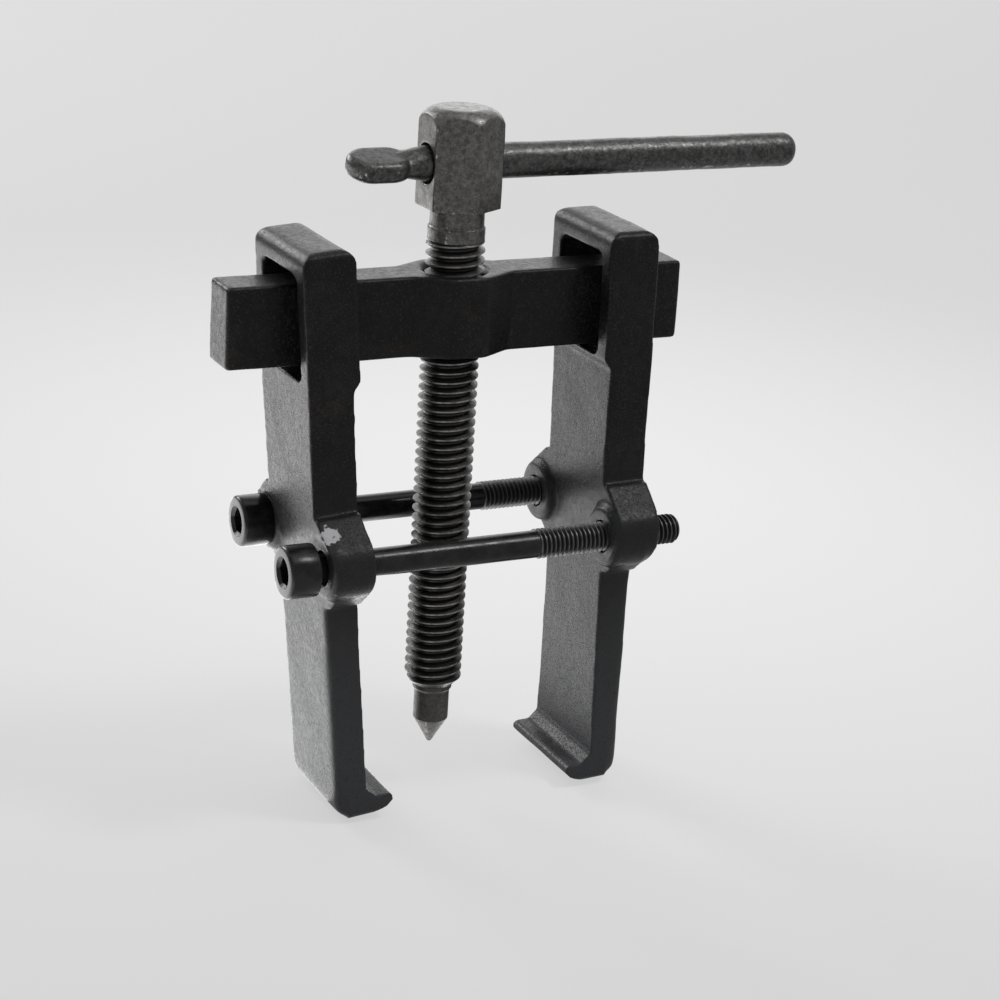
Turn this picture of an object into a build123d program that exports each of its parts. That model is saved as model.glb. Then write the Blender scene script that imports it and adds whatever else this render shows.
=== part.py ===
from build123d import *
import math
import os

# A two-jaw puller. X runs along the crossbar, Y across the jaws, and Z up along the forcing screw.
# The origin is on the forcing screw's axis, level with the soles of the jaws' feet.
# Lengths are in millimetres and angles in degrees.

# Crossbar: a forged bar that swells into a tapped boss at its middle
BAR_LENGTH = 79.3
BAR_THICKNESS = 8.0
BAR_HEIGHT = 13.3
BAR_CENTRE_HEIGHT = 83.2
BAR_EDGE_RADIUS = 0.7
BOSS_THICKNESS = 14.4
BOSS_FLAT_LENGTH = 6.0
BOSS_SLOPE_LENGTH = 5.6
BOSS_BEND_RADIUS = 2.2
BORE_CHAMFER = 0.9

# Forcing screw: 3/8 inch, 16 threads to the inch, in one piece with its hexagon head.
# Its neck's lower end stands SCREW_NECK_RISE above the crossbar's centre.
SCREW_DIAMETER = 9.525
SCREW_PITCH = 1.5875
SCREW_THREAD_TURNS = 48
SCREW_NECK_RISE = 11.5
SCREW_END_CHAMFER = 1.4
SCREW_RUNNING_CLEARANCE = 0.05
NECK_DIAMETER = 8.8
NECK_LENGTH = 5.05
COLLAR_DIAMETER = 9.3
COLLAR_LENGTH = 2.0
HEAD_ACROSS_FLATS = 12.0
HEAD_HEIGHT = 15.9
HEAD_CORNER_RADIUS = 0.5
CROWN_FLAT_DIAMETER = 8.2
CROWN_DROP = 4.2
CROWN_RADIUS = 3.5
CROSS_HOLE_DIAMETER = 6.4
CROSS_HOLE_RISE = 7.1

# Centre point: a cone whose spigot turns in the screw's end
POINT_TIP_DIAMETER = 0.7
POINT_DIAMETER = 5.9
POINT_BODY_LENGTH = 6.3
POINT_CONE_LENGTH = 4.6
POINT_COLLAR_DIAMETER = 6.6
POINT_COLLAR_LENGTH = 0.7
SPIGOT_DIAMETER = 4.0
SPIGOT_LENGTH = 7.0
SPIGOT_CHAMFER = 0.5
SPIGOT_RUNNING_CLEARANCE = 0.05
SPIGOT_END_GAP = 0.4

# Tommy bar: a rod whose left end is hammered flat, which stops it from sliding out
TOMMY_DIAMETER = 5.9
TOMMY_RIGHT_END = 61.4
TOMMY_END_RADIUS = 2.2
PADDLE_LEFT_END = -19.3
PADDLE_LENGTH = 10.8
PADDLE_WIDTH = 7.6
PADDLE_THICKNESS = 3.6
PADDLE_EDGE_RADIUS = 1.3
PADDLE_NECK_LENGTH = 2.2
PADDLE_NECK_OVERLAP = 3.2
PADDLE_NECK_WIDTH = 6.3
PADDLE_NECK_THICKNESS = 3.3
PADDLE_ROLL = 16.0

# Jaws: two forged arms, each with a window for the crossbar. They hang on it with a little play, so they
# lean a little, and each has its eyes shifted along the tie bolts from the middle of its leg.
ARM_WIDTH = 20.8
ARM_WAIST_INSET = 0.6
ARM_HEAD_THICKNESS = 9.0
ARM_LEG_THICKNESS = 6.0
ARM_LEG_SETBACK = 1.25
ARM_FOOT_THICKNESS = 5.6
ARM_ROOF_RISE = 13.0
ARM_ROOF_RADIUS = 2.5
ARM_TOP_CORNER_RADIUS = 1.6
ARM_FOOT_CORNER_RADIUS = 1.4
PAD_DEPTH = 1.2
PAD_DROP = 8.2
PAD_SLOPE_LENGTH = 1.6
WINDOW_WALL = 3.4
WINDOW_TOP_CLEARANCE = 2.35
WINDOW_BOTTOM_CLEARANCE = 1.15
WINDOW_CORNER_RADIUS = 1.4
LEFT_ARM_OFFSET = 24.8
LEFT_ARM_LEAN = -4.7
LEFT_ARM_RISE = 0.0
LEFT_EYE_SHIFT = -0.8
RIGHT_ARM_OFFSET = 27.2
RIGHT_ARM_LEAN = 1.0
RIGHT_ARM_RISE = 0.5
RIGHT_EYE_SHIFT = 0.9

# Hooks: the toe of each jaw, and the sloping shoulder between its seat and the leg
TOE_REACH = 4.6
TOE_SEAT_HEIGHT = 3.5
TOE_UNDERSIDE_RISE = 1.1
TOE_NOSE_CHAMFER = 1.0
TOE_RIM_CHAMFER = 0.6
HEEL_SETBACK = 1.9
HEEL_HEIGHT = 1.6
SOLE_LENGTH = 4.8
SHOULDER_REACH = 1.6
SHOULDER_HEIGHT = 1.6

# Tie bolts and their eyes: two M5 x 65 socket head cap screws that hold the jaws together. The front one
# is not quite screwed home, so its head stands off its eye.
TIE_SPACING = 24.0
TIE_HEIGHT = 46.1
TIE_LENGTH = 65.0
TIE_THREAD_DIAMETER = 4.95
TIE_PITCH = 0.8
TIE_THREAD_TURNS = 33
TIE_END_CHAMFER = 0.6
TIE_RUNNING_CLEARANCE = 0.05
TIE_SHANK_DIAMETER = 4.5
TIE_HEAD_DIAMETER = 8.5
TIE_HEAD_LENGTH = 5.0
TIE_HEAD_EDGE_RADIUS = 0.6
TIE_SOCKET_ACROSS_FLATS = 4.0
TIE_SOCKET_DEPTH = 2.5
TIE_SOCKET_MOUTH_DIAMETER = 5.2
TIE_SOCKET_MOUTH_DEPTH = 0.5
TIE_CLEARANCE_HOLE = 5.5
TIE_SPOT_FACE_DIAMETER = 9.6
FRONT_TIE_STAND_OFF = 1.4
EYE_DIAMETER = 10.8
EYE_LENGTH = 7.2
EYE_RIM_RADIUS = 1.2
EYE_FLARE_RISE = 7.8
EYE_FLARE_SETBACK = 1.0

# Screw threads are drawn as rings of the standard 60 degree form: crest and root flats and depth
THREAD_CREST_SHARE = 1 / 8
THREAD_ROOT_SHARE = 1 / 6
THREAD_DEPTH_SHARE = 0.613
THREAD_TRIM_MARGIN = 1.0

# Heights that follow from the sizes above
NECK_BOTTOM = BAR_CENTRE_HEIGHT + SCREW_NECK_RISE
SCREW_END = NECK_BOTTOM - SCREW_THREAD_TURNS * SCREW_PITCH
CONE_TOP = SCREW_END - POINT_BODY_LENGTH
POINT_TIP_HEIGHT = CONE_TOP - POINT_CONE_LENGTH
HEAD_BOTTOM = NECK_BOTTOM + NECK_LENGTH
TOMMY_HEIGHT = HEAD_BOTTOM + CROSS_HOLE_RISE


def turned(points):
    """A solid of revolution about Z, from (radius, height) points that start and end on the axis."""
    outline = Polyline(*[(radius, 0, height) for radius, height in points], close=True)
    return revolve(make_face(outline), Axis.Z)


def plane_across_x(x):
    """The plane square to X at this place, with Y to its right and Z upwards."""
    return Plane(origin=(x, 0, 0), x_dir=(0, 1, 0), z_dir=(1, 0, 0))


def upright_cylinder(diameter, length):
    """A cylinder that stands on the XY plane."""
    return Cylinder(diameter / 2, length, align=(Align.CENTER, Align.CENTER, Align.MIN))


def make_threaded_rod(diameter, pitch, turns, shank_diameter, shank_length, end_chamfer):
    """A rod that stands on the XY plane: a plain shank, then rings of thread up to a chamfered end."""
    crest = diameter / 2
    root = crest - THREAD_DEPTH_SHARE * pitch
    half_crest = THREAD_CREST_SHARE * pitch / 2
    half_root = THREAD_ROOT_SHARE * pitch / 2
    shank = shank_diameter / 2
    top = shank_length + turns * pitch
    points = [(0, 0), (shank, 0), (shank, shank_length)]
    for turn in range(turns):
        bottom = shank_length + turn * pitch
        middle = bottom + pitch / 2
        points.append((crest, bottom + half_crest))
        points.append((root, middle - half_root))
        points.append((root, middle + half_root))
        points.append((crest, bottom + pitch - half_crest))
    points += [(crest, top), (0, top)]
    envelope = upright_cylinder(diameter + 2 * THREAD_TRIM_MARGIN, top)
    envelope = chamfer(envelope.edges().sort_by(Axis.Z)[-1], end_chamfer + THREAD_TRIM_MARGIN)
    return turned(points) & envelope


def make_crossbar():
    """The bar with its boss and tapped hole. The hole is drawn at the thread's outer diameter."""
    end = BAR_LENGTH / 2
    half = BAR_THICKNESS / 2
    flat = BOSS_FLAT_LENGTH / 2
    slope_end = flat + BOSS_SLOPE_LENGTH
    boss = BOSS_THICKNESS / 2
    right_back = [(end, half), (slope_end, half), (flat, boss)]
    back = right_back + [(-x, y) for x, y in reversed(right_back)]
    front = [(x, -y) for x, y in reversed(back)]
    plan = make_face(Polyline(*back, *front, close=True))
    bends = plan.vertices().sort_by(lambda corner: abs(corner.X))[:8]
    plan = fillet(bends, BOSS_BEND_RADIUS)
    corners = plan.vertices().sort_by(lambda corner: abs(corner.X))[-4:]
    plan = fillet(corners, BAR_EDGE_RADIUS)
    bar = extrude(plan, amount=BAR_HEIGHT / 2, both=True)
    layers = bar.faces().sort_by(Axis.Z)
    bar = fillet(layers[0].edges() + layers[-1].edges(), BAR_EDGE_RADIUS)
    bore = SCREW_DIAMETER / 2 + SCREW_RUNNING_CLEARANCE
    rim = BAR_HEIGHT / 2
    bar -= turned([
        (0, -rim),
        (bore + BORE_CHAMFER, -rim),
        (bore, BORE_CHAMFER - rim),
        (bore, rim - BORE_CHAMFER),
        (bore + BORE_CHAMFER, rim),
        (0, rim),
    ])
    return Pos(0, 0, BAR_CENTRE_HEIGHT) * bar


def make_hexagon_head():
    """The hexagon with two flats square to X, domed at the top."""
    across_corners = HEAD_ACROSS_FLATS * 2 / math.sqrt(3)
    plan = Rot(0, 0, 30) * RegularPolygon(across_corners / 2, 6)
    head = extrude(plan, amount=HEAD_HEIGHT)
    head = fillet(head.edges().filter_by(Axis.Z), HEAD_CORNER_RADIUS)
    flat = CROWN_FLAT_DIAMETER / 2
    wide = across_corners / 2
    shoulder = HEAD_HEIGHT - CROWN_DROP
    dome = Polyline((flat, HEAD_HEIGHT), (0, HEAD_HEIGHT), (0, 0), (wide, 0), (wide, shoulder))
    dome += RadiusArc((wide, shoulder), (flat, HEAD_HEIGHT), -CROWN_RADIUS)
    return head & revolve(Plane.XZ * make_face(dome), Axis.Z)


def make_forcing_screw():
    """The threaded rod, the head with its cross hole, and the socket for the centre point's spigot."""
    rod = make_threaded_rod(
        SCREW_DIAMETER,
        SCREW_PITCH,
        SCREW_THREAD_TURNS,
        COLLAR_DIAMETER,
        COLLAR_LENGTH,
        SCREW_END_CHAMFER,
    )
    screw = Pos(0, 0, NECK_BOTTOM + COLLAR_LENGTH) * Rot(180, 0, 0) * rod
    screw += Pos(0, 0, NECK_BOTTOM) * upright_cylinder(NECK_DIAMETER, NECK_LENGTH)
    screw += Pos(0, 0, HEAD_BOTTOM) * make_hexagon_head()
    cross_hole = Cylinder(CROSS_HOLE_DIAMETER / 2, 2 * HEAD_ACROSS_FLATS)
    screw -= Pos(0, 0, TOMMY_HEIGHT) * Rot(0, 90, 0) * cross_hole
    socket = upright_cylinder(SPIGOT_DIAMETER + 2 * SPIGOT_RUNNING_CLEARANCE, SPIGOT_LENGTH + SPIGOT_END_GAP)
    return screw - Pos(0, 0, SCREW_END) * socket


def make_centre_point():
    """The cone, its body and collar, and the spigot that turns inside the screw."""
    body = POINT_DIAMETER / 2
    collar = POINT_COLLAR_DIAMETER / 2
    spigot = SPIGOT_DIAMETER / 2
    collar_bottom = SCREW_END - POINT_COLLAR_LENGTH
    spigot_top = SCREW_END + SPIGOT_LENGTH
    return turned([
        (0, POINT_TIP_HEIGHT),
        (POINT_TIP_DIAMETER / 2, POINT_TIP_HEIGHT),
        (body, CONE_TOP),
        (body, collar_bottom - (collar - body)),
        (collar, collar_bottom),
        (collar, SCREW_END),
        (spigot, SCREW_END),
        (spigot, spigot_top - SPIGOT_CHAMFER),
        (spigot - SPIGOT_CHAMFER, spigot_top),
        (0, spigot_top),
    ])


def make_tommy_bar():
    """The rod with its rounded right end and its flattened left end, which is rolled a little about X."""
    paddle_right_end = PADDLE_LEFT_END + PADDLE_LENGTH
    rod_left_end = paddle_right_end + PADDLE_NECK_LENGTH
    rod = upright_cylinder(TOMMY_DIAMETER, TOMMY_RIGHT_END - rod_left_end)
    rod = fillet(rod.edges().sort_by(Axis.Z)[-1], TOMMY_END_RADIUS)
    rod = Pos(rod_left_end, 0, 0) * Rot(0, 90, 0) * rod
    paddle = extrude(SlotOverall(PADDLE_LENGTH, PADDLE_WIDTH), amount=PADDLE_THICKNESS / 2, both=True)
    paddle = Pos(PADDLE_LEFT_END + PADDLE_LENGTH / 2, 0, 0) * fillet(paddle.edges(), PADDLE_EDGE_RADIUS)
    neck_left_end = paddle_right_end - PADDLE_NECK_OVERLAP
    flat_section = Ellipse(PADDLE_NECK_WIDTH / 2, PADDLE_NECK_THICKNESS / 2)
    flat_section = plane_across_x(neck_left_end) * flat_section
    round_section = plane_across_x(rod_left_end) * Circle(TOMMY_DIAMETER / 2)
    neck = loft([flat_section.face(), round_section.face()])
    return Pos(0, 0, TOMMY_HEIGHT) * Rot(PADDLE_ROLL, 0, 0) * (rod + neck + paddle)


def arm_side_profile():
    """The jaw seen along Y, standing upright on its sole and facing +X."""
    head = ARM_HEAD_THICKNESS / 2
    foot = ARM_FOOT_THICKNESS / 2
    leg_back = -head + ARM_LEG_SETBACK
    leg_face = leg_back + ARM_LEG_THICKNESS
    eye_top = TIE_HEIGHT + EYE_DIAMETER / 2
    eye_bottom = TIE_HEIGHT - EYE_DIAMETER / 2
    roof = BAR_CENTRE_HEIGHT + ARM_ROOF_RISE
    pad_bottom = BAR_CENTRE_HEIGHT - PAD_DROP
    toe = foot + TOE_REACH
    sole_back = -foot + HEEL_SETBACK
    outline = Polyline(
        (-foot, HEEL_HEIGHT),
        (sole_back, 0),
        (sole_back + SOLE_LENGTH, 0),
        (toe - TOE_NOSE_CHAMFER, TOE_UNDERSIDE_RISE),
        (toe, TOE_UNDERSIDE_RISE + TOE_NOSE_CHAMFER),
        (toe, TOE_SEAT_HEIGHT - TOE_RIM_CHAMFER),
        (toe - TOE_RIM_CHAMFER, TOE_SEAT_HEIGHT),
        (foot + SHOULDER_REACH, TOE_SEAT_HEIGHT),
        (foot, TOE_SEAT_HEIGHT + SHOULDER_HEIGHT),
        (leg_face, eye_bottom),
        (head - PAD_DEPTH, eye_top),
        (head - PAD_DEPTH, pad_bottom - PAD_SLOPE_LENGTH),
        (head, pad_bottom),
        (head, roof),
        (-head, roof),
        (-head, eye_top),
        (leg_back, eye_bottom),
        close=True,
    )
    profile = make_face(outline)
    return fillet(profile.vertices().sort_by(Axis.Y)[-2:], ARM_ROOF_RADIUS)


def arm_front_profile():
    """The jaw seen along X: a narrow waist with the eyes' flares, and rounded corners at top and foot."""
    half = ARM_WIDTH / 2
    waist = half - ARM_WAIST_INSET
    roof = BAR_CENTRE_HEIGHT + ARM_ROOF_RISE
    low = HEEL_HEIGHT + ARM_FOOT_CORNER_RADIUS
    high = BAR_CENTRE_HEIGHT - PAD_DROP
    middle = (low + high) / 2
    outline = Polyline((half, high), (half, roof), (-half, roof), (-half, high))
    outline += ThreePointArc((-half, high), (-waist, middle), (-half, low))
    outline += Polyline((-half, low), (-half, 0), (half, 0), (half, low))
    outline += ThreePointArc((half, low), (waist, middle), (half, high))
    profile = make_face(outline)
    profile = fillet(profile.vertices().sort_by(Axis.Y)[-2:], ARM_TOP_CORNER_RADIUS)
    profile = fillet(profile.vertices().sort_by(Axis.Y)[:2], ARM_FOOT_CORNER_RADIUS)
    root = TIE_SPACING / 2 - EYE_FLARE_SETBACK
    flares = Rectangle(2 * root, 2 * EYE_FLARE_RISE)
    for side in (-1, 1):
        ring = Pos(side * TIE_SPACING / 2, 0) * Circle(EYE_DIAMETER / 2)
        root_line = Line((side * root, -EYE_FLARE_RISE), (side * root, EYE_FLARE_RISE))
        flares += make_hull([ring.edge(), root_line])
    return profile + Pos(0, TIE_HEIGHT) * flares


def eye_place(lean, shift):
    """Where along X a jaw has its eyes, when it leans this much and they are shifted this far."""
    return shift + (TIE_HEIGHT - BAR_CENTRE_HEIGHT) * math.tan(math.radians(lean))


def make_jaw(lean, rise, eye_shift, hole_diameter):
    """A jaw that faces +X and leans about the crossbar's centre, with its eyes square to the tie bolts."""
    side_plane = Plane(origin=(0, 0, 0), x_dir=(1, 0, 0), z_dir=(0, -1, 0))
    front_plane = plane_across_x(0)
    blank = extrude(side_plane * arm_side_profile(), amount=ARM_WIDTH, both=True)
    blank &= extrude(front_plane * arm_front_profile(), amount=ARM_WIDTH, both=True)
    window_width = ARM_WIDTH - 2 * WINDOW_WALL
    window_bottom = BAR_CENTRE_HEIGHT - BAR_HEIGHT / 2 - WINDOW_BOTTOM_CLEARANCE
    window_top = BAR_CENTRE_HEIGHT + BAR_HEIGHT / 2 + WINDOW_TOP_CLEARANCE
    opening = RectangleRounded(window_width, window_top - window_bottom, WINDOW_CORNER_RADIUS)
    opening = extrude(front_plane * opening, amount=ARM_WIDTH, both=True)
    blank -= Pos(0, 0, (window_bottom + window_top) / 2) * opening
    jaw = Pos(0, 0, rise) * blank.rotate(Axis((0, 0, BAR_CENTRE_HEIGHT), (0, 1, 0)), lean)
    eye = Cylinder(EYE_DIAMETER / 2, EYE_LENGTH)
    eye = fillet(eye.edges().filter_by(GeomType.CIRCLE), EYE_RIM_RADIUS)
    hole = Cylinder(hole_diameter / 2, 2 * EYE_LENGTH)
    for side in (-1, 1):
        place = Pos(eye_place(lean, eye_shift), side * TIE_SPACING / 2, TIE_HEIGHT) * Rot(0, 90, 0)
        jaw += place * eye
        jaw -= place * hole
    return jaw


def tie_bolt_place(side):
    """Where the underside of a tie bolt's head rests on the left jaw, on this side of the screw."""
    head_x = eye_place(LEFT_ARM_LEAN, LEFT_EYE_SHIFT) - LEFT_ARM_OFFSET - EYE_LENGTH / 2
    return Pos(head_x, side * TIE_SPACING / 2, TIE_HEIGHT)


def make_left_arm():
    """The jaw with plain holes, faced off where the tie bolts' heads pull on it."""
    jaw = make_jaw(LEFT_ARM_LEAN, LEFT_ARM_RISE, LEFT_EYE_SHIFT, TIE_CLEARANCE_HOLE)
    jaw = Pos(-LEFT_ARM_OFFSET, 0, 0) * jaw
    facing = Rot(0, -90, 0) * upright_cylinder(TIE_SPOT_FACE_DIAMETER, TIE_HEAD_LENGTH)
    for side in (-1, 1):
        jaw -= tie_bolt_place(side) * facing
    return jaw


def make_right_arm():
    """The jaw that faces -X, with tapped holes drawn at the tie bolts' outer diameter."""
    hole_diameter = TIE_THREAD_DIAMETER + 2 * TIE_RUNNING_CLEARANCE
    jaw = make_jaw(RIGHT_ARM_LEAN, RIGHT_ARM_RISE, RIGHT_EYE_SHIFT, hole_diameter)
    return Pos(RIGHT_ARM_OFFSET, 0, 0) * mirror(jaw, Plane.YZ)


def make_tie_bolt():
    """A cap screw along X, with the underside of its head at X = 0."""
    bolt = make_threaded_rod(
        TIE_THREAD_DIAMETER,
        TIE_PITCH,
        TIE_THREAD_TURNS,
        TIE_SHANK_DIAMETER,
        TIE_LENGTH - TIE_THREAD_TURNS * TIE_PITCH,
        TIE_END_CHAMFER,
    )
    head = upright_cylinder(TIE_HEAD_DIAMETER, TIE_HEAD_LENGTH)
    head = fillet(head.edges().sort_by(Axis.Z)[0], TIE_HEAD_EDGE_RADIUS)
    key = extrude(RegularPolygon(TIE_SOCKET_ACROSS_FLATS / math.sqrt(3), 6), amount=TIE_SOCKET_DEPTH)
    mouth = turned([
        (0, 0),
        (TIE_SOCKET_MOUTH_DIAMETER / 2, 0),
        (TIE_SOCKET_ACROSS_FLATS / 2, TIE_SOCKET_MOUTH_DEPTH),
        (0, TIE_SOCKET_MOUTH_DEPTH),
    ])
    bolt += Pos(0, 0, -TIE_HEAD_LENGTH) * (head - key - mouth)
    return Rot(0, 90, 0) * bolt


def main():
    os.makedirs("parts", exist_ok=True)
    nodes = {
        "crossbar": make_crossbar(),
        "left_arm": make_left_arm(),
        "right_arm": make_right_arm(),
        "forcing_screw": make_forcing_screw(),
        "centre_point": make_centre_point(),
        "tommy_bar": make_tommy_bar(),
        "front_tie_bolt": Pos(-FRONT_TIE_STAND_OFF, 0, 0) * tie_bolt_place(-1) * make_tie_bolt(),
        "rear_tie_bolt": tie_bolt_place(1) * make_tie_bolt(),
    }
    for name, solid in nodes.items():
        export_step(solid, f"parts/{name}.step")


if __name__ == "__main__":
    main()
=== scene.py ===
import logging
import math
from dataclasses import dataclass, field
from enum import Enum

import bmesh
import bpy
from mathutils import Matrix, Vector, noise


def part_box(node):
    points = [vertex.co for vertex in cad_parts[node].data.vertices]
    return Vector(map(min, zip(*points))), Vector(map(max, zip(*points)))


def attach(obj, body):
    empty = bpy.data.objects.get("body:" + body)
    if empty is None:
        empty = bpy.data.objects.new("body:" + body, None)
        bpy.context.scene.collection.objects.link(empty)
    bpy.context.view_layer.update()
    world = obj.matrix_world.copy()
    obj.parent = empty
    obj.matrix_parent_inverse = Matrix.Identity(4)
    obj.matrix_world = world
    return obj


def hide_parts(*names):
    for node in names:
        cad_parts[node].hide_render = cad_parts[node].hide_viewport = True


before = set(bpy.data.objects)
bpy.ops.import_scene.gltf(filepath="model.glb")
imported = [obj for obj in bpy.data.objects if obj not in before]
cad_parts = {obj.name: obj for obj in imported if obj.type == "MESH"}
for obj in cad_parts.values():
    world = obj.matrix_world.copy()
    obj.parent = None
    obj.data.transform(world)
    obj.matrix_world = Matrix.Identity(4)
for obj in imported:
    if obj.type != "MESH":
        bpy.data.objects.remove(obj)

# Dresses a two-jaw gear puller: forged jaws and crossbar in black paint, a dark steel forcing screw
# with its centre point and sliding handle, and two blackened tie bolts. Lengths are in metres.

log = logging.getLogger("puller")
MM = 0.001
COARSER = 1.0
# Points closer than this are merged, in a copied solid, a finished piece and a raw thread.
COPY_MERGE = 1e-6
FINISH_MERGE = 2e-6
THREAD_MERGE = 3e-6
# Edges that turn by more than this many degrees stay sharp.
FORGED_ANGLE = 80.0
THREAD_ANGLE = 50.0
TURNED_ANGLE = 35.0
FLOOR_ANGLE = 40.0

Socket = bpy.types.NodeSocket
Colour = tuple[float, float, float]
Profile = list[tuple[float, float]]


class Axis(Enum):
    """The direction that a turned or threaded piece points along."""

    X = "X"
    Z = "Z"


# ---------------------------------------------------------------- shader building


class ShaderTree:
    """A small helper that adds nodes and links to the node tree of a material, a world or a group."""

    # Where a Mix node that is set to colours keeps its factor, its two colours and its result.
    MIX_FACTOR = 0
    MIX_COLOURS = (6, 7)
    MIX_RESULT = 2

    def __init__(self, tree: bpy.types.NodeTree) -> None:
        """Keeps the tree that nodes are added to.

        Args:
            tree: The node tree.
        """
        self.tree = tree

    def node(self, kind: str, **values: object) -> bpy.types.Node:
        """Adds a node.

        Args:
            kind: The node's class, without its ShaderNode prefix.
            **values: Attributes of the node, or inputs named by in_ and the socket's name.

        Returns:
            The new node.
        """
        made = self.tree.nodes.new("ShaderNode" + kind)
        for name, value in values.items():
            if name.startswith("in_"):
                made.inputs[name[3:].replace("_", " ")].default_value = value
            else:
                setattr(made, name, value)
        return made

    def link(self, source: Socket, target: Socket) -> None:
        """Joins two sockets.

        Args:
            source: The output that gives the value.
            target: The input that takes it.
        """
        self.tree.links.new(source, target)

    def feed(self, value: Socket | float | Colour, target: Socket) -> None:
        """Gives an input its value, by a link or as it stands.

        Args:
            value: A socket, a number or an RGB triple.
            target: The input that takes it.
        """
        if isinstance(value, Socket):
            self.link(value, target)
        elif isinstance(value, tuple):
            target.default_value = (*value, 1.0)
        else:
            target.default_value = value

    def math(self, operation: str, first: Socket | float, second: Socket | float) -> Socket:
        """Adds a maths node on two sockets or numbers.

        Args:
            operation: The node's operation, such as MULTIPLY.
            first: A socket or a number.
            second: A socket or a number.

        Returns:
            The output socket.
        """
        made = self.node("Math", operation=operation)
        self.feed(first, made.inputs[0])
        self.feed(second, made.inputs[1])
        return made.outputs[0]

    def ramp(self, value: Socket, low: Socket | float, high: Socket | float, start: Socket | float = 0.0,
             end: Socket | float = 1.0) -> Socket:
        """Maps a value from low..high to start..end, smoothly and held at the ends.

        Args:
            value: The socket to map.
            low: The value that gives start.
            high: The value that gives end.
            start: The result at low.
            end: The result at high.

        Returns:
            The mapped socket.
        """
        made = self.node("MapRange", interpolation_type="SMOOTHSTEP")
        self.link(value, made.inputs["Value"])
        for name, bound in (("From Min", low), ("From Max", high), ("To Min", start), ("To Max", end)):
            self.feed(bound, made.inputs[name])
        return made.outputs["Result"]

    def mix_colour(self, factor: Socket, first: Socket | Colour, second: Socket | Colour) -> Socket:
        """Mixes two colours.

        Args:
            factor: How much of the second colour shows.
            first: A socket or an RGB triple.
            second: A socket or an RGB triple.

        Returns:
            The mixed colour.
        """
        made = self.node("Mix", data_type="RGBA")
        self.link(factor, made.inputs[self.MIX_FACTOR])
        for index, colour in zip(self.MIX_COLOURS, (first, second)):
            self.feed(colour, made.inputs[index])
        return made.outputs[self.MIX_RESULT]

    def distance(self, place: Socket, point: Vector) -> Socket:
        """How far each place on the surface is from a point.

        Args:
            place: The socket that gives the place.
            point: The point.

        Returns:
            The distance in metres.
        """
        made = self.node("VectorMath", operation="DISTANCE")
        self.link(place, made.inputs[0])
        made.inputs[1].default_value = point
        return made.outputs["Value"]


class EffectTree(ShaderTree):
    """The node group of an effect that several finishes share."""

    def __init__(self, name: str, inputs: dict[str, float], outputs: tuple[str, ...]) -> None:
        """Makes the group, with a Vector input and its named values.

        Args:
            name: The group's name.
            inputs: The value inputs' names and defaults.
            outputs: The value outputs' names.
        """
        super().__init__(bpy.data.node_groups.new(name, "ShaderNodeTree"))
        face = self.tree.interface
        face.new_socket(name="Vector", in_out="INPUT", socket_type="NodeSocketVector")
        for label, default in inputs.items():
            face.new_socket(name=label, in_out="INPUT", socket_type="NodeSocketFloat").default_value = default
        for label in outputs:
            face.new_socket(name=label, in_out="OUTPUT", socket_type="NodeSocketFloat")
        self.given = self.tree.nodes.new("NodeGroupInput").outputs
        self.out = self.tree.nodes.new("NodeGroupOutput").inputs

    def texture(self, kind: str, scale: Socket, **values: object) -> bpy.types.Node:
        """Adds a texture on the group's Vector.

        Args:
            kind: The texture node's class, without its ShaderNode prefix.
            scale: The texture's scale.
            **values: Its other values, named as node takes them.

        Returns:
            The texture node.
        """
        made = self.node(kind, **values)
        self.link(self.given["Vector"], made.inputs["Vector"])
        self.link(scale, made.inputs["Scale"])
        return made


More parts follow.
